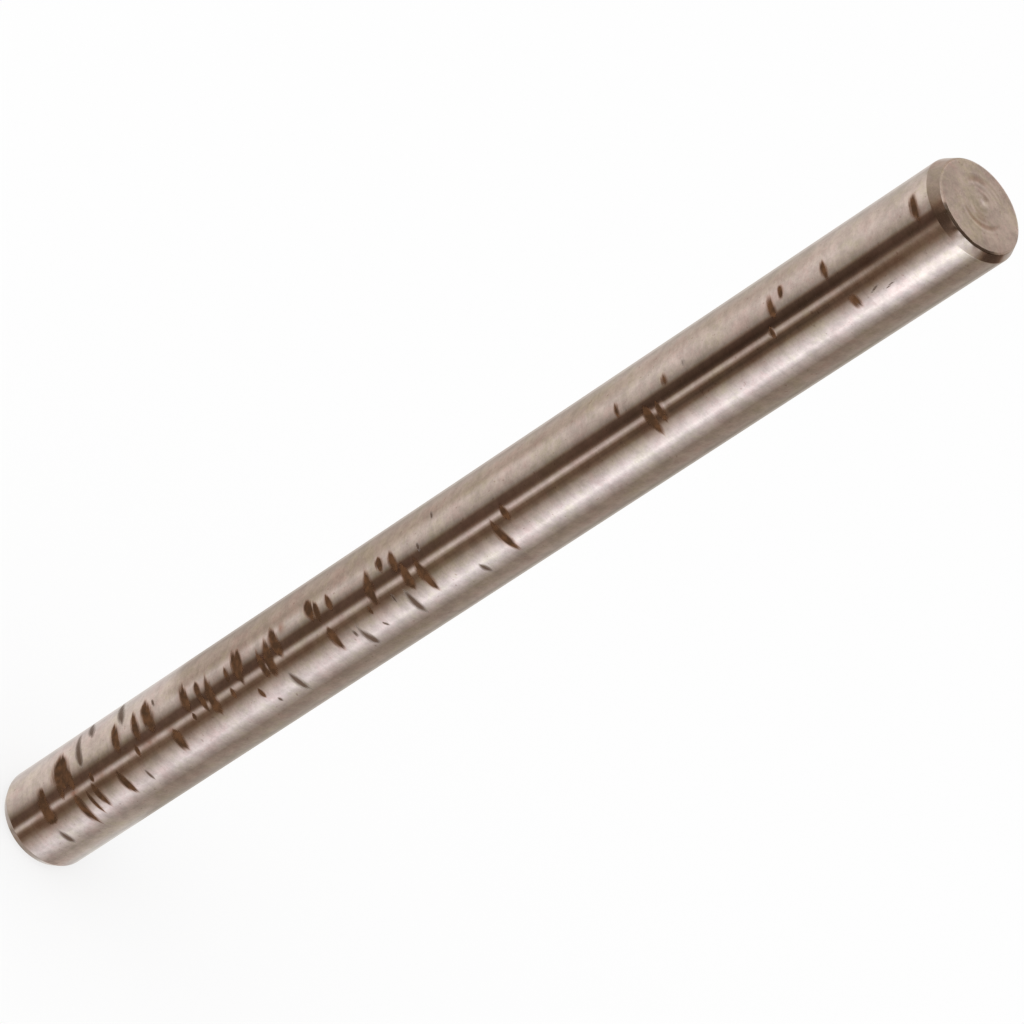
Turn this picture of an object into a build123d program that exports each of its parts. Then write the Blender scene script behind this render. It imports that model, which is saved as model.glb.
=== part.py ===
from build123d import *
import os

# Piston pin: one solid ground steel rod with a long shallow lead-in bevel at each end.
# Millimetres. The pin stands on its lower end face, with its axis on +Z and the origin
# at the centre of that face.

# Driving dimensions
pin_diameter = 9.525  # ground shank, a 3/8 inch pin
pin_length = 120.65  # over both end faces, 4 3/4 inches
bevel_length = 0.97  # how far each lead-in bevel runs along the axis
bevel_depth = 0.48  # how much each bevel takes off the radius
face_edge_radius = 0.25  # broken edge between a bevel and its end face
shoulder_radius = 0.30  # softened corner between the shank and a bevel

# Worked out from the above
shank_radius = pin_diameter / 2
face_radius = shank_radius - bevel_depth
upper_bevel_start = pin_length - bevel_length

os.makedirs("parts", exist_ok=True)

with BuildPart() as piston_pin:
    # Half of the lengthwise section, from the axis out to the shank. X is the radius here
    # and the sketch's own Y is the height along the pin.
    with BuildSketch(Plane.XZ) as half_section:
        with BuildLine():
            Polyline(
                (0, 0),
                (face_radius, 0),
                (shank_radius, bevel_length),
                (shank_radius, upper_bevel_start),
                (face_radius, pin_length),
                (0, pin_length),
                close=True,
            )
        make_face()
        # Corners in rows from the axis outwards: axis, rims of the end faces, shoulders.
        face_rims = half_section.vertices().group_by(Axis.X)[1]
        fillet(face_rims, radius=face_edge_radius)
        shoulders = half_section.vertices().group_by(Axis.X)[-1]
        fillet(shoulders, radius=shoulder_radius)
    revolve(axis=Axis.Z)

piston_pin.part.label = "piston_pin"
export_step(piston_pin.part, "parts/piston_pin.step")
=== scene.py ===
import math
import bpy
import numpy as np
from mathutils import Matrix, Vector


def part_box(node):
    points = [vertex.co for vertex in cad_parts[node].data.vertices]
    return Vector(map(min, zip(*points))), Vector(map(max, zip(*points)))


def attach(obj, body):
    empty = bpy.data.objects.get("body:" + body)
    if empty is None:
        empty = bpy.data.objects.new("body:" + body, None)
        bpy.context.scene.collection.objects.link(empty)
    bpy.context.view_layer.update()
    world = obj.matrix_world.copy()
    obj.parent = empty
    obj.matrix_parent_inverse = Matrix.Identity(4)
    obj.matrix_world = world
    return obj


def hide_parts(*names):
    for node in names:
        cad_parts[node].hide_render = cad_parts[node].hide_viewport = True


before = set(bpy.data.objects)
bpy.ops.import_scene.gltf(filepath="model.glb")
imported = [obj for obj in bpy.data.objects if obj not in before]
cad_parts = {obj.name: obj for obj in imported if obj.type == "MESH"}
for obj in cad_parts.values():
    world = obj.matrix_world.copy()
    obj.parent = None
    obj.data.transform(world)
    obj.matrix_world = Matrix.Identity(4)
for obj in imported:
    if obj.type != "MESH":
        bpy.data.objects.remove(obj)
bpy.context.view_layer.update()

mm = 0.001
degrees = math.pi / 180
pinLow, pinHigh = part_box("piston_pin")
pinRadius = (pinHigh.x - pinLow.x) / 2
pinLength = pinHigh.z - pinLow.z


class Wire:
    # one output socket of a node tree: + - * / between wires and numbers add Math nodes
    def __init__(self, tree, socket):
        self.tree = tree
        self.socket = socket

    def maths(self, operation, *values):
        return self.tree.add("ShaderNodeMath", {"operation": operation}, dict(enumerate(values)))

    def __add__(self, other):
        return self.maths("ADD", self, other)

    def __radd__(self, other):
        return self.maths("ADD", other, self)

    def __sub__(self, other):
        return self.maths("SUBTRACT", self, other)

    def __rsub__(self, other):
        return self.maths("SUBTRACT", other, self)

    def __mul__(self, other):
        return self.maths("MULTIPLY", self, other)

    def __rmul__(self, other):
        return self.maths("MULTIPLY", other, self)

    def __truediv__(self, other):
        return self.maths("DIVIDE", self, other)

    def __rtruediv__(self, other):
        return self.maths("DIVIDE", other, self)

    def highest(self, other):
        return self.maths("MAXIMUM", self, other)

    def lowest(self, other):
        return self.maths("MINIMUM", self, other)

    def rise(self, low, high):
        # 0 below low, 1 above high, and a smooth step between them
        settings = {"interpolation_type": "SMOOTHSTEP"}
        inputs = {"Value": self, "From Min": low, "From Max": high}
        return self.tree.add("ShaderNodeMapRange", settings, inputs)


class NodeTree:
    # a node tree under construction
    def __init__(self, nodes):
        self.nodes = nodes.nodes
        self.links = nodes.links
        self.nodes.clear()

    def add(self, kind, settings=None, inputs=None, output=0):
        # settings go in first, then each input socket takes a wire or a plain value
        node = self.nodes.new(kind)
        for name, value in (settings or {}).items():
            if name == "stops":
                self.fillRamp(node.color_ramp, value)
            else:
                setattr(node, name, value)
        for name, value in (inputs or {}).items():
            if isinstance(value, Wire):
                self.links.new(value.socket, node.inputs[name])
            elif node.inputs[name].type == "RGBA":
                node.inputs[name].default_value = (*value, 1)
            else:
                node.inputs[name].default_value = value
        return Wire(self, node.outputs[output])

    def end(self, kind, shader):
        # the output node takes the finished shader
        node = self.nodes.new(kind)
        self.links.new(shader.socket, node.inputs["Surface"])

    def fillRamp(self, ramp, stops):
        # each stop is a place from 0 to 1 and the colour there
        while len(ramp.elements) < len(stops):
            ramp.elements.new(1.0)
        for element, (place, colour) in zip(ramp.elements, stops):
            element.position = place
            element.color = (*colour, 1)

    def mix(self, factor, first, second):
        # first colour where factor is 0, second where it is 1
        settings = {"data_type": "RGBA"}
        inputs = {0: factor, 6: first, 7: second}
        return self.add("ShaderNodeMix", settings, inputs, output=2)

    def tint(self, colour, other, factor=1.0):
        # the colour times the other, as far as factor says
        settings = {"data_type": "RGBA", "blend_type": "MULTIPLY"}
        return self.add("ShaderNodeMix", settings, {0: factor, 6: colour, 7: other}, output=2)

    def noise(self, vector, scale, detail=2.0, roughness=0.5):
        inputs = {"Vector": vector, "Scale": scale, "Detail": detail, "Roughness": roughness}
        return self.add("ShaderNodeTexNoise", {}, inputs)

    def stretch(self, vector, factors):
        # one factor along each axis
        return self.add("ShaderNodeVectorMath", {"operation": "MULTIPLY"}, {0: vector, 1: factors})

    def field(self, name):
        # a value that the mesh carries at each of its points
        settings = {"attribute_type": "GEOMETRY", "attribute_name": name}
        return self.add("ShaderNodeAttribute", settings, output=2)


# Each streak runs round the shank: height in mm, lean in mm from its first end to its last,
# first and last end in degrees round from the front, width in mm, and how far along it is widest.
rustStreaks = [
    # near the foot
    (5.65, 0.1, -31, 10, 1.3, 0.8), (5.95, 0.0, -34, -6, 0.6, 0.4), (8.85, 0.3, -58, -16, 2.2, 0.6),
    (9.35, 0.4, -57, -30, 0.9, 0.7), (9.85, 0.1, -36, -9, 0.75, 0.5),
    (8.35, 0.0, -28, -5, 0.5, 0.4), (9.6, -0.1, -6, 38, 0.88, 0.35), (11.05, 0.0, -2, 30, 0.4, 0.4),
    (12.15, 0.2, -6, 27, 0.7, 0.4), (12.45, 0.0, -17, -4, 0.4, 0.5), (15.5, 0.2, -3, 31, 0.78, 0.5),
    (16.75, 0.1, -51, -17, 1.05, 0.5), (18.85, 0.0, -15, 0, 0.5, 0.5),
    (19.5, 0.2, -50, -15, 0.9, 0.6), (21.3, 0.7, -56, -15, 1.4, 0.6),
    (21.0, 0.3, -55, -26, 0.9, 0.5), (23.7, -0.15, -6, 23, 1.0, 0.4),
    (26.35, 0.25, -46, -12, 0.95, 0.6), (26.7, 0.0, -9, 0, 0.4, 0.5),
    (28.15, 0.2, -38, -14, 0.65, 0.4), (28.4, 0.1, -22, 0, 0.5, 0.5),
    (29.5, 0.1, -36, 9, 0.95, 0.7),
    # the thickest crowd
    (32.1, 0.1, -33, -14, 0.45, 0.5), (31.95, 0.0, -10, 5, 0.42, 0.5),
    (33.45, 0.3, -44, -4, 0.95, 0.5), (33.95, 0.0, -43, -15, 0.8, 0.5),
    (34.6, 0.0, 7, 20, 0.5, 0.5), (36.4, 0.1, -28, 5, 0.65, 0.7), (37.4, -0.3, -34, 8, 0.95, 0.6),
    (38.7, 0.4, -41, -6, 1.05, 0.5), (43.65, 0.4, -46, -20, 1.05, 0.4),
    (44.5, 0.3, -39, -15, 0.75, 0.5), (44.95, 0.0, -7, 24, 0.8, 0.4),
    (46.15, 0.4, -38, -18, 0.72, 0.6), (50.0, 0.0, -2, 9, 0.34, 0.5),
    (51.1, -0.2, -35, 3, 0.95, 0.6), (53.0, 0.2, -41, -23, 0.8, 0.4),
    (54.6, 0.3, -39, -14, 0.82, 0.5), (55.4, 0.0, -20, 11, 0.95, 0.6),
    (57.1, 0.3, -17, 25, 0.88, 0.5),
    # sparser towards the head
    (66.3, 0.2, -5, 38, 0.85, 0.5), (67.95, 0.1, -14, 5, 0.66, 0.5),
    (83.05, 0.0, -38, -19, 0.42, 0.5), (85.95, 0.2, -17, 18, 0.95, 0.35),
    (87.2, 0.0, -15, 11, 0.7, 0.4), (88.7, 0.0, -37, -20, 0.48, 0.6),
    (98.1, 0.0, -15, 0, 0.42, 0.5), (100.7, 0.0, -14, 0, 0.42, 0.5),
    (101.5, 0.1, -45, -17, 0.72, 0.7), (102.8, 0.1, -46, -30, 0.44, 0.5),
    (107.7, 0.2, -43, -20, 0.64, 0.5), (109.0, 0.1, 2, 22, 0.78, 0.4),
    (118.0, 0.15, -51, -18, 0.86, 0.5),
    # a few round the back
    (15.2, 0.2, -128, -100, 0.8, 0.5), (29.0, 0.2, 104, 134, 0.9, 0.5),
    (31.2, 0.1, 122, 146, 0.7, 0.5), (46.5, 0.2, -166, -140, 0.8, 0.4),
    (52.0, 0.1, 148, 172, 0.8, 0.5), (79.0, 0.2, -140, -116, 0.8, 0.5),
    (97.5, 0.1, 112, 134, 0.8, 0.5),
]
greyStreaks = [
    (5.45, 0.1, 16, 42, 0.7, 0.6), (11.45, 0.7, -78, -26, 0.9, 0.8),
    (12.85, 1.3, -88, -53, 1.0, 0.6), (17.3, 1.2, -86, -44, 1.05, 0.65),
    (18.25, 0.0, 12, 31, 0.36, 0.5), (22.2, 0.4, -52, -40, 0.34, 0.5),
    (35.5, 0.0, 27, 35, 0.4, 0.5), (38.55, 0.2, 9, 43, 0.88, 0.5), (47.1, 0.0, 10, 21, 0.36, 0.5),
    (47.85, 0.3, 9, 41, 0.8, 0.7), (50.3, 0.3, 20, 29, 0.32, 0.5), (52.9, 0.0, 1, 12, 0.3, 0.5),
    (54.3, -0.1, 4, 43, 0.8, 0.5), (57.85, 0.0, -30, -19, 0.34, 0.5),
    (60.0, 0.2, -55, -43, 0.36, 0.5), (62.4, 0.2, 25, 43, 0.62, 0.5),
    (91.3, 0.0, -38, -27, 0.4, 0.5), (111.2, -1.0, 9, 14, 0.6, 0.5),
    (112.6, -1.4, 14, 19, 0.6, 0.5), (116.2, 0.0, 34, 39, 0.32, 0.5),
]
# Brown film where rust has run, and, in the patches at -7 to -9 degrees, painted shade that dims
# the
# mirrored bright line: height and angle of its middle, half its height in mm, half its width in
# degrees, and its strength.
rustFilmAndLineShade = [
    (5.0, 2, 5.0, 9, 0.8), (14.0, 1, 5.0, 9, 0.6), (26.0, 2, 4.0, 9, 0.55), (33.0, 3, 6.0, 8, 0.5),
    (41.0, 1, 4.0, 8, 0.6), (53.0, 2, 4.0, 8, 0.3), (65.5, 3, 2.0, 8, 0.4), (85.5, 4, 1.6, 14, 0.7),
    (98.5, 3, 1.5, 6, 0.4), (112.5, 2, 4.0, 7, 0.8), (9.0, -24, 2.5, 10, 0.6),
    (45.0, -20, 3.0, 6, 0.35), (9.8, -7, 1.6, 5, 1.3), (13.8, -7, 1.4, 5, 1.0),
    (4.6, -7, 0.5, 5, 1.0), (18.2, -7, 1.0, 5, 0.6), (20.6, -7, 1.7, 5, 1.3),
    (23.6, -7, 0.7, 5, 1.2), (26.7, -7, 0.5, 5, 0.8), (36.8, -8, 1.4, 9, 0.7),
    (33.6, -20, 1.2, 12, 0.5), (55.5, -9, 1.0, 8, 0.5), (60.0, -7, 70.0, 4, 0.32),
    (111.8, -14, 0.6, 5, 0.9), (39.85, -35, 0.3, 7, 1.3),
]


def streakField(streaks, bluntness, heights, angles):
    # A streak is a leaf round the shank: 1 - |t|^bluntness - (distance off its line) / (half its
    # width), with t running from -1 at its first end through 0 where it is widest to 1 at its
    # last end. It is positive inside, and where streaks cross the highest counts.
    field = np.full(np.broadcast(heights, angles).shape, -1.0)
    for height, lean, first, last, width, belly in streaks:
        share = (angles - first) / (last - first)
        taper = np.abs(share - belly) / np.where(share < belly, belly, 1 - belly)
        line = height + lean * (share - 0.5)
        field = np.maximum(field, 1 - taper ** bluntness - np.abs(heights - line) / (width / 2))
    return field


def filmAndLineShadeField(patches, heights, angles):
    # soft round patches: strength times a bell of the distance from the middle
    field = np.zeros(np.broadcast(heights, angles).shape)
    for height, angle, halfHeight, halfWidth, strength in patches:
        away = ((heights - height) / halfHeight) ** 2 + ((angles - angle) / halfWidth) ** 2
        field = np.maximum(field, strength * np.exp(-away))
    return field


pinShape = {
    "bevelLength": 0.97,  # mm along the axis
    "bevelDepth": 0.48,  # mm off the radius
    "faceEdge": 0.29,  # mm, worn rim of each end face
    "shoulder": 0.36,  # mm, worn edge where a bevel meets the shank
    "columns": 152,
    "crowding": 0.45,  # how much closer the columns stand at the marked front
    "faceRows": 60,
    "edgeRows": 9,
    "bevelRows": 14,
    "shoulderRows": 6,
    "shankRows": 470,
    "streakCrowd": 4.0,  # extra rows beside a streak, against one elsewhere
    "bluntness": 2.2,  # how blunt the ends of a streak are
    "pitDepth": 0.02,  # mm
    "pitEdge": (0.3, 0.8),  # how far inside a streak its pit starts, and is at full depth
    "ringCentre": 0.3,  # mm from the middle of a face, away from the front
    "ringPitch": 0.52,  # mm, feed of the tool
    "ringDepth": 0.007,  # mm that the next three depths are counted in
    "spiralDepth": 0.25,
    "bandDepth": 1.5,
    "dimpleDepth": 5.5,
    "dimple": (0.95, 0.38),  # mm back from the middle, mm wide
    "headBevel": 1.04,  # size of the head's bevel against the foot's
    "headSkew": 0.2,  # share by which it is smaller on its small side, and larger opposite
    "smallSide": 70,  # degrees round from the front
    "skewRun": (1.0, 4.0),  # mm below the head over which the shank takes up what is left
    "rimNicks": 0.14,  # share by which the rim of the head wanders in and out
    "nickSpread": (25, 60),  # degrees round to the middle of the nicks, and how far they spread
    "grime": (-27, -17, 46, 78),  # degrees where painted shade on that rim comes in and goes out
}


def halfSection(shape, rowHeights):
    # The outline from the middle of the foot to the middle of the head: straight runs joined
    # by arcs. The heading turns evenly along an arc, which starts radius * tan(turn / 2)
    # before its corner. Gives radius, height and heading at each row.
    radius, length = pinRadius / mm, pinLength / mm
    faceRadius = radius - shape["bevelDepth"]
    bevel = shape["bevelLength"]
    corners = np.array([(0, 0), (faceRadius, 0), (radius, bevel), (radius, length - bevel),
                        (faceRadius, length), (0, length)])
    rounds = [shape["faceEdge"], shape["shoulder"], shape["shoulder"], shape["faceEdge"]]
    runRows = [shape["faceRows"], shape["bevelRows"], None, shape["bevelRows"], shape["faceRows"]]
    arcRows = [shape["edgeRows"], shape["shoulderRows"], shape["shoulderRows"], shape["edgeRows"]]
    legs = np.diff(corners, axis=0)
    headings = np.arctan2(legs[:, 1], legs[:, 0])
    along = legs / np.linalg.norm(legs, axis=1)[:, None]
    setbacks = [0, *(r * np.tan((after - before) / 2) for r, before, after
                     in zip(rounds, headings[:-1], headings[1:])), 0]
    parts = []
    for index, rows in enumerate(runRows):
        start = corners[index] + along[index] * setbacks[index]
        end = corners[index + 1] - along[index] * setbacks[index + 1]
        if rows is None:
            spread = (rowHeights - rowHeights[0]) / (rowHeights[-1] - rowHeights[0])
        else:
            spread = np.linspace(0, 1, rows)
        points = start + (end - start) * spread[:, None]
        parts.append(np.column_stack([points, np.full(len(points), headings[index])]))
        if index < len(arcRows):
            turn = np.linspace(headings[index], headings[index + 1], arcRows[index] + 2)[1:-1]
            outward = np.column_stack([np.sin(turn), -np.cos(turn)])
            first = np.array([np.sin(headings[index]), -np.cos(headings[index])])
            centre = end - rounds[index] * first
            parts.append(np.column_stack([centre + rounds[index] * outward, turn]))
    return np.vstack(parts)


def crowdedHeights(shape):
    # Shank rows are equal steps of the running sum of their density, which rises from 1 to
    # 1 + streakCrowd between 1.4 and 0.4 of a streak's reach from its middle.
    fine = np.linspace(0, pinLength / mm, 6000)
    density = np.ones_like(fine)
    for height, lean, first, last, width, belly in rustStreaks + greyStreaks:
        reach = width / 2 + abs(lean) / 2 + 0.1
        near = np.clip(1.4 - np.abs(fine - height) / reach, 0, 1)
        density = np.maximum(density, 1 + shape["streakCrowd"] * near)
    total = np.concatenate([[0], np.cumsum(density[1:] + density[:-1])])
    return np.interp(np.linspace(0, total[-1], shape["shankRows"]), total, fine)


# Turned rings on the end faces that stand out from the rest, cut into the face and darkened in its
# colour
# as painted shade: radius and width in mm, bearing and spread in degrees, and strength, which is
# negative where the lines fade.
faceRings = [
    (2.15, 0.30, -45, 55, 1.25), (2.3, 0.32, 143, 34, 1.1), (1.5, 0.26, -48, 30, 0.8),
    (1.85, 0.16, 20, 40, -0.8), (2.9, 0.2, -120, 50, 0.4), (3.3, 0.2, 70, 50, 0.35),
    (1.0, 0.3, -60, 40, 0.6),
]


def toolLines(shape, radius, angle):
    # Depth of the turned rings on an end face, from 0 down: a fine spiral of the tool's feed,
    # cos(distance / pitch - bearing) - 1, rings that are bells of the distance and fade with a
    # bell of the bearing, and a bell-shaped dimple. Gives the depth and the rings alone.
    x, y = radius * np.sin(angle), -radius * np.cos(angle)
    back = y - shape["ringCentre"]
    away, bearing = np.hypot(x, back), np.arctan2(back, x)
    spiral = np.cos(2 * np.pi * away / shape["ringPitch"] - bearing) - 1
    # the spiral is weaker in the first half millimetre and near the rim
    fade = np.clip(away / 0.5, 0, 1) * np.clip(3.6 - away, 0.3, 1)
    rings = np.zeros_like(away)
    for ringRadius, width, middle, spread, strength in faceRings:
        turned = np.mod(bearing / degrees - middle + 180, 360) - 180
        near = np.exp(-((away - ringRadius) / width) ** 2 - (turned / spread) ** 2)
        rings = rings + strength * near
    dimpleBack, dimpleWidth = shape["dimple"]
    dimple = shape["dimpleDepth"] * np.exp(-(np.hypot(x, y - dimpleBack) / dimpleWidth) ** 2)
    depth = shape["spiralDepth"] * spiral * fade - shape["bandDepth"] * rings - dimple
    return np.minimum(depth, 0), rings


def skewedHead(shape, radius, height, angle):
    # The bevel at the head is cut a little off centre: its inset from the shank and its length
    # are scaled by headBevel * (1 - headSkew * cos(angle from the small side)). The face shrinks
    # or grows to its edge, and the shank takes up the rest of the length. Nicks in its rim are
    # three sines of the angle times a bell. Gives the inset and the distance below the head.
    shankRadius, length, depth = pinRadius / mm, pinLength / mm, shape["bevelDepth"]
    onHead = height > length / 2
    fromSmall = angle - shape["smallSide"] * degrees
    scale = shape["headBevel"] * (1 - shape["headSkew"] * np.cos(fromSmall))
    scale = np.where(onHead, scale, 1.0)
    middle, spread = shape["nickSpread"]
    nicks = np.sin(7 * angle + 1) * 0.4 + np.sin(17 * angle + 2) * 0.35 + np.sin(31 * angle) * 0.25
    nicks = nicks * np.exp(-((angle / degrees - middle) / spread) ** 2)
    nicks = nicks * np.where(onHead, shape["rimNicks"], 0)
    inset = shankRadius - radius
    onFace = depth * scale + (inset - depth) * (shankRadius - depth * scale) / (shankRadius - depth)
    inset = np.where(inset > depth, onFace, inset * scale)
    nearRim = np.exp(-((inset / depth - 1) / 0.5) ** 2)
    inset = inset + nicks * np.clip(inset, 0, depth) * nearRim
    below = length - height
    start, end = shape["skewRun"]
    reach = np.clip((end - below) / (end - start), 0, 1) * np.minimum(below, shape["bevelLength"])
    return inset, below + (scale - 1) * reach


def pinGrid(shape):
    # A point of the skin is (r sin a, -r cos a, z) plus its offset along the outward normal
    # (sin h sin a, -sin h cos a, -cos h), with r, z and the heading h from the half section
    # and the angle a round from the front. The columns crowd there: a = u - k sin u.
    section = halfSection(shape, crowdedHeights(shape))[1:-1]
    radius, height, heading = (section[:, [k]] for k in range(3))
    u = np.linspace(-np.pi, np.pi, shape["columns"], endpoint=False)
    angle = (u - shape["crowding"] * np.sin(u))[None, :]
    around = angle / degrees
    # the shank's rows head upright and a face's level, and the head's rim turns between them
    upright, level = np.abs(np.cos(heading)) < 0.02, np.abs(np.sin(heading)) < 0.02
    onRim = (height > pinLength / mm / 2) & (np.cos(heading) < -0.5) & ~level
    rust = streakField(rustStreaks, shape["bluntness"], height, around)
    stain = streakField(greyStreaks, shape["bluntness"], height, around)
    rust, stain = np.where(upright, rust, -1.0), np.where(upright, stain, -1.0)
    lines, rings = toolLines(shape, radius, angle)
    fields = {"rust": rust, "stain": stain, "film": filmAndLineShadeField(rustFilmAndLineShade, height, around),
              # the rings again, as painted shade in the faces' colour
              "groove": np.where(level, rings, 0),
              # the front of the head's rim darkened as painted shade, where it mirrors the dark sky
              "grime": np.where(onRim, np.interp(around, shape["grime"], (0, 1, 1, 0)), 0)}
    offset = np.where(level, lines * shape["ringDepth"], 0)
    offset = offset - shape["pitDepth"] * np.interp(rust, shape["pitEdge"], (0, 1))
    inset, below = skewedHead(shape, radius, height, angle)
    out = pinRadius / mm - inset + offset * np.sin(heading)
    x, y = out * np.sin(angle), -out * np.cos(angle)
    z = pinLength / mm - below - offset * np.cos(heading)
    return np.stack([x, y, z], -1) * mm, fields


def closedSkin(name, grid, fields):
    # rows of quads wrapped round the axis, and a fan of triangles to a pole at each end
    rows, columns = grid.shape[:2]
    poles = np.array([grid[0].mean(axis=0), grid[-1].mean(axis=0)])
    points = np.vstack([grid.reshape(-1, 3), poles])
    this = np.arange(rows * columns).reshape(rows, columns)
    after = np.roll(this, -1, axis=1)
    quads = np.stack([this[:-1], after[:-1], after[1:], this[1:]], -1).reshape(-1, 4)
    foot = np.stack([np.full(columns, rows * columns), after[0], this[0]], -1)
    head = np.stack([np.full(columns, rows * columns + 1), this[-1], after[-1]], -1)
    corners = np.concatenate([quads.ravel(), foot.ravel(), head.ravel()])
    sides = np.concatenate([np.full(len(quads), 4), np.full(2 * columns, 3)])
    mesh = bpy.data.meshes.new(name)
    mesh.vertices.add(len(points))
    mesh.vertices.foreach_set("co", points.ravel())
    mesh.loops.add(len(corners))
    mesh.loops.foreach_set("vertex_index", corners.astype(np.int32))
    mesh.polygons.add(len(sides))
    starts = np.concatenate([[0], np.cumsum(sides)[:-1]])
    mesh.polygons.foreach_set("loop_start", starts.astype(np.int32))
    mesh.polygons.foreach_set("use_smooth", np.ones(len(sides), bool))
    for fieldName, values in fields.items():
        values = np.broadcast_to(values, (rows, columns))
        attribute = mesh.attributes.new(fieldName, "FLOAT", "POINT")
        ends = [values[0].mean(), values[-1].mean()]
        values = np.concatenate([values.ravel(), ends]).astype(np.float32)
        attribute.data.foreach_set("value", values)
    mesh.update(calc_edges=True)
    mesh.validate()
    piece = bpy.data.objects.new(name, mesh)
    bpy.context.scene.collection.objects.link(piece)
    return piece


steelLook = {
    "light": (0.62, 0.56, 0.522),
    "dark": (0.575, 0.513, 0.47),
    "mottle": 0.16,  # how far its brightness wanders either way
    "pink": (1.0, 0.925, 0.93),  # faint colours the steel is clouded with
    "olive": (0.96, 0.99, 0.89),
    "ends": (1.01, 0.965, 0.905),  # tint of the end faces
    "groove": (0.76, 0.66, 0.60),  # and painted shade in their rings
    # painted shade for the front of the head's rim
    "grime": (0.30, 0.275, 0.26),
    "rustDeep": (0.066, 0.032, 0.015),
    "rustBright": (0.122, 0.056, 0.025),
    "stain": (0.10, 0.057, 0.034),
    # brown of rust film, and of painted shade on the mirrored bright line
    "film": (0.37, 0.225, 0.165),
    "shankRoughness": 0.04,
    "bevelRoughness": 0.11,
    "faceRoughness": 0.27,
    "rustRoughness": 0.8,
    "specular": 0.1,
    # mm of relief in the normals: grinding lines, turned ends and rust
    "grindRelief": 0.00014,
    "turnedRelief": 0.002,
    "rustRelief": 0.012,
    # mm from an end where the shank gives way to the bevel, and the bevel to the face
    "endFrom": (0.9, 1.05),
    "faceFrom": (0.04, 0.12),
    # size of each pattern, in grains to the metre along x, y and z
    "grain": {
        "grind": (60, 60, 5200), "patches": (500, 500, 330), "clouds": (260, 260, 90),
        "mottle": (700, 700, 800), "hues": (330, 330, 280), "ragged": (1000, 1000, 4200),
        "fibres": (350, 350, 5200), "fine": (300, 300, 9000), "turned": (350, 350, 4000),
    },
    # and of those that are alike every way
    "evenGrain": {"specks": 2600.0, "film": 900.0, "rust": 1400.0, "grit": 9000.0},
}


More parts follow.
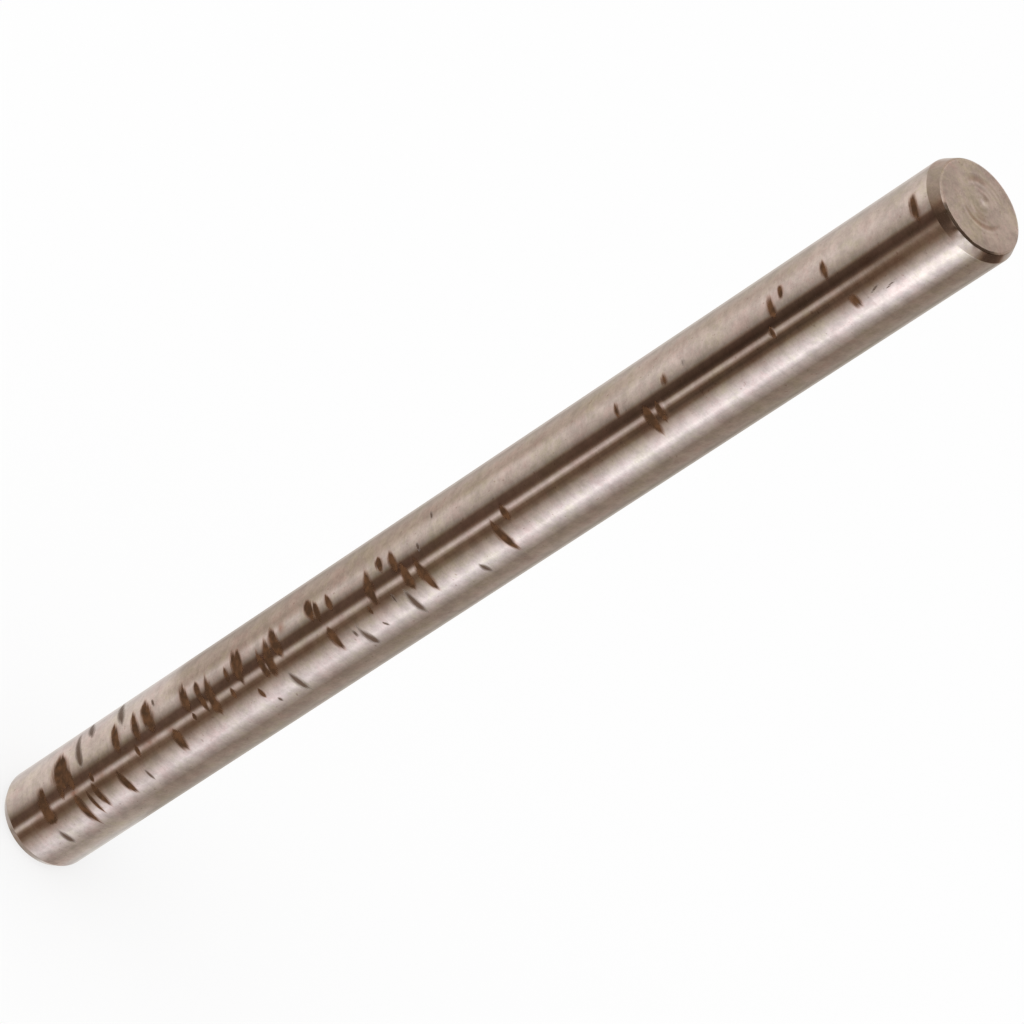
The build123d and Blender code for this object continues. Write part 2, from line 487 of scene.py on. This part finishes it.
def groundSteel(look):
    material = bpy.data.materials.new("groundSteel")
    material.use_nodes = True
    tree = NodeTree(material.node_tree)
    place = tree.add("ShaderNodeTexCoord", output=3)
    height = tree.add("ShaderNodeSeparateXYZ", {}, {0: place}, output=2) / mm
    fromEnd = height.lowest(pinLength / mm - height)
    isEnd = 1 - fromEnd.rise(*look["endFrom"])
    isFace = 1 - fromEnd.rise(*look["faceFrom"])

    def grain(name, detail, roughness=0.5):
        return tree.noise(tree.stretch(place, look["grain"][name]), 1.0, detail, roughness)

    def evenGrain(name, detail):
        return tree.noise(place, look["evenGrain"][name], detail)

    # bare steel: clouds of two greys, grinding lines in patches, mottle, hues and specks
    grind = grain("grind", 3.0)
    patches = grain("patches", 2.0).rise(0.35, 0.65)
    mottle = grain("mottle", 5.0, 0.8).rise(0.3, 0.7) * 2 - 1
    steel = tree.mix(grain("clouds", 3.0).rise(0.35, 0.65), look["dark"], look["light"])
    lines = tree.mix(grind.rise(0.3, 0.7), (0.93, 0.93, 0.93), (1, 1, 1))
    steel = tree.tint(steel, lines, patches * 0.7 + 0.1)
    mottle = mottle * (isFace * 0.25 + 1) * look["mottle"]
    steel = tree.tint(steel, tree.mix(mottle + 0.5, (0.5, 0.5, 0.5), (1.5, 1.5, 1.5)))
    hues = grain("hues", 5.0, 0.85)
    strength = isFace * 0.25 + 0.95
    steel = tree.tint(steel, look["pink"], hues.rise(0.48, 0.66) * strength)
    steel = tree.tint(steel, look["olive"], (1 - hues).rise(0.48, 0.66) * strength)
    steel = tree.tint(steel, look["ends"], isFace)
    # painted shade in the turned rings of the end faces
    steel = tree.tint(steel, look["groove"], tree.field("groove").rise(0.1, 1.1) * 0.9)
    steel = tree.tint(steel, look["film"], evenGrain("specks", 1.0).rise(0.7, 0.78) * 0.35)
    # painted shade on the front of the head's rim, broken up by the hues
    grime = (tree.field("grime") + (hues - 0.5) * 0.8).rise(0.25, 0.75)
    steel = tree.tint(steel, look["grime"], grime)

    # rust, its brown halo, grey stain and brown film, which is also painted shade on the mirrored
    # bright line, with edges torn along the grinding
    torn = (grain("ragged", 3.0, 0.65) - 0.5) * 0.6 + (grain("fibres", 2.0) - 0.5) * 0.6
    rust = tree.field("rust") + torn
    core = rust.rise(-0.35, 0.35)
    halo = rust.rise(-0.7, 0.0) * 0.5
    stain = (tree.field("stain") + torn).rise(-0.45, 0.7) * 0.95
    # rust film, and painted shade that dims the mirrored bright line
    film = tree.field("film") * (evenGrain("film", 3.0) * 1.6 - 0.25).highest(0)
    metal = tree.mix(film.highest(halo).lowest(1), steel, look["film"])
    metal = tree.mix(stain, metal, look["stain"])
    freckles = evenGrain("rust", 4.0).rise(0.35, 0.68)
    rusty = tree.mix(freckles, look["rustDeep"], look["rustBright"])

    roughness = look["shankRoughness"] + isEnd * (look["bevelRoughness"] - look["shankRoughness"])
    roughness = roughness + isFace * (look["faceRoughness"] - look["bevelRoughness"])
    roughness = roughness + grind * 0.01 + stain * 0.3 + film * 0.06

    def bump(relief):
        inputs = {"Strength": 1.0, "Distance": 1.0, "Height": relief}
        return tree.add("ShaderNodeBump", {}, inputs)

    grinding = grain("fine", 2.0) * (1 - isEnd) * look["grindRelief"] * mm
    turning = grain("turned", 3.0) * isEnd * look["turnedRelief"] * mm
    grit = evenGrain("grit", 3.0) * look["rustRelief"] * mm
    bright = tree.add("ShaderNodeBsdfPrincipled", {}, {
        "Base Color": metal, "Roughness": roughness, "Metallic": 1 - stain * 0.6,
        "Normal": bump(grinding + turning), "Specular IOR Level": look["specular"]})
    dull = tree.add("ShaderNodeBsdfPrincipled", {}, {
        "Base Color": rusty, "Roughness": look["rustRoughness"], "Metallic": 0.0,
        "Normal": bump(grit), "Specular IOR Level": look["specular"]})
    surface = tree.add("ShaderNodeMixShader", {}, {0: core, 1: bright, 2: dull})
    tree.end("ShaderNodeOutputMaterial", surface)
    return material


pin = closedSkin("piston_pin_skin", *pinGrid(pinShape))
pin.data.materials.append(groundSteel(steelLook))
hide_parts("piston_pin")
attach(pin, "root")
print("pin skin:", len(pin.data.vertices), "points")


# What the steel mirrors: brightness by direction round the pin in degrees, 0 straight ahead of
# the pin's front and positive to its right. Pairs are where one light starts to give way to the
# next, and where it has gone.
studio = {
    # Light below the horizon, one column each for what the foot, the low, the middle and the
    # high part of the shank and its head mirror.
    "bands": [
        (-180, 0.72, 0.48, 0.55, 0.58, 0.65), (-156, 0.83, 0.64, 0.70, 0.75, 0.79),
        (-146, 0.78, 0.47, 0.54, 0.60, 0.69), (-130, 0.90, 0.55, 0.63, 0.68, 0.78),
        (-112, 0.98, 0.61, 0.61, 0.71, 0.87), (-100, 0.94, 0.58, 0.60, 0.80, 0.94),
        (-90, 0.90, 0.52, 0.77, 0.87, 0.96), (-82, 0.87, 0.61, 0.88, 0.90, 0.94),
        (-70, 0.78, 0.88, 0.77, 0.79, 0.77), (-60, 0.61, 0.72, 0.66, 0.65, 0.57),
        (-48, 0.30, 0.37, 0.38, 0.39, 0.38), (-40, 0.15, 0.15, 0.15, 0.11, 0.13),
        (-28, 0.15, 0.13, 0.13, 0.06, 0.09), (-24, 0.21, 0.16, 0.16, 0.07, 0.11),
        (-20, 0.46, 0.36, 0.30, 0.13, 0.17), (-16, 0.82, 0.72, 0.75, 0.54, 0.30),
        (-12, 0.76, 0.74, 1.03, 0.76, 0.34), (-8, 0.36, 0.49, 0.57, 0.41, 0.27),
        (-3, 0.21, 0.24, 0.23, 0.14, 0.22), (4, 0.20, 0.20, 0.19, 0.10, 0.21),
        (12, 0.29, 0.30, 0.28, 0.20, 0.32), (20, 0.46, 0.49, 0.49, 0.50, 0.50),
        (32, 0.71, 0.78, 0.76, 0.86, 0.86), (44, 0.99, 1.03, 1.17, 1.24, 1.57),
        (54, 1.11, 1.17, 1.48, 1.53, 1.80), (66, 0.83, 0.80, 0.96, 0.83, 1.16),
        (80, 0.54, 0.52, 0.56, 0.54, 0.56), (92, 0.46, 0.36, 0.37, 0.35, 0.35),
        (108, 0.56, 0.40, 0.38, 0.38, 0.37), (132, 0.71, 0.47, 0.46, 0.44, 0.47),
        (147, 0.67, 0.44, 0.40, 0.37, 0.40), (157, 0.75, 0.52, 0.54, 0.51, 0.54),
    ],
    # share of green and blue against red, by the same direction
    "hues": [
        (-180, 0.975, 0.93), (-168, 0.985, 0.94), (-154, 1.05, 1.08), (-138, 1.035, 1.07),
        (-120, 0.99, 0.98), (-100, 0.98, 0.96), (-76, 0.995, 0.995), (-56, 1.02, 1.06),
        (-45, 1.09, 1.20), (-36, 0.97, 1.01), (-28, 0.955, 0.97), (-20, 1.01, 1.05),
        (-14, 0.99, 0.98), (-8, 0.965, 0.94), (0, 0.995, 0.94), (8, 1.015, 0.985),
        (20, 1.0, 0.985), (40, 0.99, 0.99), (60, 1.01, 1.02), (78, 1.025, 1.065),
        (92, 1.03, 1.045), (110, 1.005, 0.985), (128, 1.02, 1.01), (142, 1.06, 1.08),
        (156, 1.08, 1.09), (168, 1.01, 0.975), (180, 0.975, 0.93),
    ],
    # degrees above the horizon where each column gives way to the next
    "steps": [(-41.65, -41.53), (-40.9, -38.2), (-38.2, -35.8), (-34.9, -34.0)],
    "slant": 1.28,  # degrees the first step drops on the way round
    # light about the horizon, for the bevels
    "bevelBands": [
        (-180, 1.15), (-174, 1.05), (-167, 0.52), (-160, 0.62), (-106, 0.61), (-81, 0.50),
        (-68, 0.43), (-55, 0.32), (-42, 0.16), (-28, 0.085), (-14, 0.085), (0, 0.12), (7, 0.17),
        (14, 0.27), (22, 0.50), (28, 0.80), (34, 1.15), (41, 1.28), (55, 0.94), (68, 0.66),
        (81, 0.33), (92, 0.11), (106, 0.105), (118, 0.12), (130, 0.15), (141, 0.46), (152, 0.60),
        (162, 0.62), (168, 0.50), (175, 1.05), (180, 1.15),
    ],
    # Degrees above the horizon where the bevels' light starts. It starts lower behind, where
    # the sides of the head's bevel look, and the last pair is how far behind that is.
    "bevelStart": (-14, -7),
    "bevelStartBehind": (-28, -16),
    "behind": (0.3, 0.6),
    # how a brightness is coloured: dark flags are brown, bright sheets nearly white
    "warmth": [(0.0, (0, 0, 0)), (0.08, (0.08, 0.052, 0.037)), (0.14, (0.14, 0.093, 0.068)),
               (0.20, (0.20, 0.133, 0.096)), (0.30, (0.30, 0.228, 0.176)),
               (0.40, (0.40, 0.333, 0.290)), (0.55, (0.55, 0.480, 0.440)),
               (0.70, (0.70, 0.632, 0.602)), (0.85, (0.85, 0.792, 0.79)), (1.0, (1.0, 0.95, 0.975)),
               (1.3, (1.3, 1.26, 1.32)), (1.9, (1.9, 1.89, 1.95))],
    "brightest": 1.9,
    "leftTint": (1.0, 0.975, 0.925),
    "leftSide": (-0.5, -0.1),  # how far right that tint goes
    "overhead": (0.80, 0.60),  # at the left, and straight above and behind
    "overheadTurn": (-0.25, 0.1),  # how far right the first gives way to the second
    "skyStart": (23, 30),  # degrees above the horizon
    "darkSky": 0.34,
    "darkFrom": (-25, -17),  # angles round the rim of the head that mirror the dark sky
    "darkTo": (60, 74),
    "zenith": (80, 87),  # degrees above the horizon where the sky is clear again, for the face
    "towardsCamera": 0.84,  # how far forward the line from the head to the camera leans
    # light from below by how far the direction leans to the right, from -0.5 to 0.5
    "under": [(-0.5, 0.62), (-0.17, 0.60), (-0.12, 0.38), (-0.06, 0.50), (-0.02, 0.42),
              (0.12, 0.42), (0.17, 0.46), (0.23, 0.56), (0.5, 0.60)],
    "underEnd": (-54, -47),  # degrees above the horizon where it ends
    "belowBack": 0.74,  # light from below and behind
    "belowStart": (-68, -58),
    "belowBehind": (0.2, 0.35),
    "room": 1.0,  # light on everything that isn't a mirror
}


def studioWorld(look):
    world = bpy.data.worlds.new("studioWorld")
    world.use_nodes = True
    tree = NodeTree(world.node_tree)
    way = tree.add("ShaderNodeTexCoord")
    x, y, z = (tree.add("ShaderNodeSeparateXYZ", {}, {0: way}, output=k) for k in range(3))
    turn = x.maths("ARCTAN2", x, y * -1) / (2 * math.pi) + 0.5
    tilt = z.maths("ARCSINE", z) / degrees

    def plain(brightness):
        return (brightness / look["brightest"],) * 3

    def ramp(stops, place):
        return tree.add("ShaderNodeValToRGB", {"stops": stops}, {0: place})

    def bands(rows, column):
        return ramp([((row[0] + 180) / 360, plain(row[column])) for row in rows], turn)

    # light below the horizon, then the bevels' light about it
    lit = bands(look["bands"], 1)
    for column, step in enumerate(look["steps"], 2):
        slanted = tilt + turn * look["slant"] if column == 2 else tilt
        lit = tree.mix(slanted.rise(*step), lit, bands(look["bands"], column))
    behind = tilt.rise(*look["bevelStartBehind"]) * y.rise(*look["behind"])
    nearHorizon = behind.highest(tilt.rise(*look["bevelStart"]))
    lit = tree.mix(nearHorizon, lit, bands(look["bevelBands"], 1))
    # Each place round the rim of the head mirrors the sky along one plane through the line to
    # the camera, and its angle round the pin is atan(x / (towardsCamera - y)).
    sky = tree.mix(x.rise(*look["overheadTurn"]), *(plain(level) for level in look["overhead"]))
    rim = x.maths("ARCTAN2", x, look["towardsCamera"] - y) / degrees
    dark = rim.rise(*look["darkFrom"]) * (1 - rim.rise(*look["darkTo"]))
    sky = tree.mix(dark * (1 - tilt.rise(*look["zenith"])), sky, plain(look["darkSky"]))
    lit = tree.mix(tilt.rise(*look["skyStart"]), lit, sky)
    # light from underneath
    under = ramp([(lean + 0.5, plain(level)) for lean, level in look["under"]], x + 0.5)
    below = tilt.rise(*look["belowStart"]) * y.rise(*look["belowBehind"])
    under = tree.mix(below, under, plain(look["belowBack"]))
    lit = tree.mix(tilt.rise(*look["underEnd"]), under, lit)

    mirrored = ramp([(level / look["brightest"], colour) for level, colour in look["warmth"]], lit)
    mirrored = tree.tint(mirrored, look["leftTint"], 1 - x.rise(*look["leftSide"]))
    hue = ramp([((row[0] + 180) / 360, (1, *row[1:])) for row in look["hues"]], turn)
    mirrored = tree.tint(mirrored, hue, 1 - nearHorizon)

    isCamera = tree.add("ShaderNodeLightPath", output=0)
    isGlossy = tree.add("ShaderNodeLightPath", output=3)
    colour = tree.mix(isGlossy, (look["room"],) * 3, mirrored)
    colour = tree.mix(isCamera, colour, (1, 1, 1))
    background = tree.add("ShaderNodeBackground", {}, {"Color": colour, "Strength": 1.0})
    tree.end("ShaderNodeOutputWorld", background)
    world.cycles.sampling_method = "NONE"
    bpy.context.scene.world = world


floorSet = {
    "size": 3.0,  # m
    "paint": (0.9, 0.9, 0.9),
    "shadow": 0.28,  # share of its real shading that shows
}


def whiteFloor(settings):
    # a square plane under the pin, white to the camera but for its share of shading
    half = settings["size"] / 2
    mesh = bpy.data.meshes.new("floor")
    corners = [(-half, -half, 0), (half, -half, 0), (half, half, 0), (-half, half, 0)]
    mesh.from_pydata(corners, [], [(0, 1, 2, 3)])
    floor = bpy.data.objects.new("floor", mesh)
    bpy.context.scene.collection.objects.link(floor)
    material = bpy.data.materials.new("floorWhite")
    material.use_nodes = True
    tree = NodeTree(material.node_tree)
    isCamera = tree.add("ShaderNodeLightPath", output=0)
    paint = tree.add("ShaderNodeBsdfDiffuse", {}, {"Color": settings["paint"]})
    glow = tree.add("ShaderNodeEmission", {}, {"Color": (1, 1, 1), "Strength": 1.0})
    share = isCamera * (1 - settings["shadow"])
    shaded = tree.add("ShaderNodeMixShader", {}, {0: share, 1: paint, 2: glow})
    # clear from below, so the foot can be looked at
    below = tree.add("ShaderNodeNewGeometry", output=6)
    clear = tree.add("ShaderNodeBsdfTransparent")
    mixed = tree.add("ShaderNodeMixShader", {}, {0: below, 1: shaded, 2: clear})
    tree.end("ShaderNodeOutputMaterial", mixed)
    mesh.materials.append(material)
    floor.visible_glossy = False


lampSet = {
    "place": (-0.5, -0.3, 1.0),  # m
    "aim": (0, 0, 0.05),  # m
    "size": 0.7,  # m
    "power": 1.5,  # W
}


def softLamp(settings):
    data = bpy.data.lights.new("softLamp", "AREA")
    data.size = settings["size"]
    data.energy = settings["power"]
    lamp = bpy.data.objects.new("softLamp", data)
    bpy.context.scene.collection.objects.link(lamp)
    lamp.location = settings["place"]
    ahead = Vector(settings["aim"]) - Vector(settings["place"])
    lamp.rotation_euler = ahead.to_track_quat("-Z", "Y").to_euler()
    lamp.visible_glossy = False


cameraSet = {
    "lens": 213.46,  # mm
    "sensor": 36,  # mm
    "nearest": 0.01,  # m
    "place": (-0.2, -399.8, 380.5),  # mm
    "aim": (-0.05, 0, 64.9),  # mm
    "roll": 56.64,  # degrees, so the standing pin lies across the picture
}


def rolledCamera(settings):
    data = bpy.data.cameras.new("camera")
    data.lens = settings["lens"]
    data.sensor_width = settings["sensor"]
    data.clip_start = settings["nearest"]
    camera = bpy.data.objects.new("camera", data)
    bpy.context.scene.collection.objects.link(camera)
    place = Vector(settings["place"]) * mm
    ahead = (Vector(settings["aim"]) * mm - place).normalized()
    side = ahead.cross(Vector((0, 0, 1))).normalized()
    above = side.cross(ahead)
    roll = settings["roll"] * degrees
    right = side * math.cos(roll) + above * math.sin(roll)
    up = above * math.cos(roll) - side * math.sin(roll)
    turned = Matrix((right, up, -ahead)).transposed().to_4x4()
    camera.matrix_world = Matrix.Translation(place) @ turned
    bpy.context.scene.camera = camera


studioWorld(studio)
whiteFloor(floorSet)
softLamp(lampSet)
rolledCamera(cameraSet)
bpy.context.scene.view_settings.view_transform = "Standard"
print("studio ready")
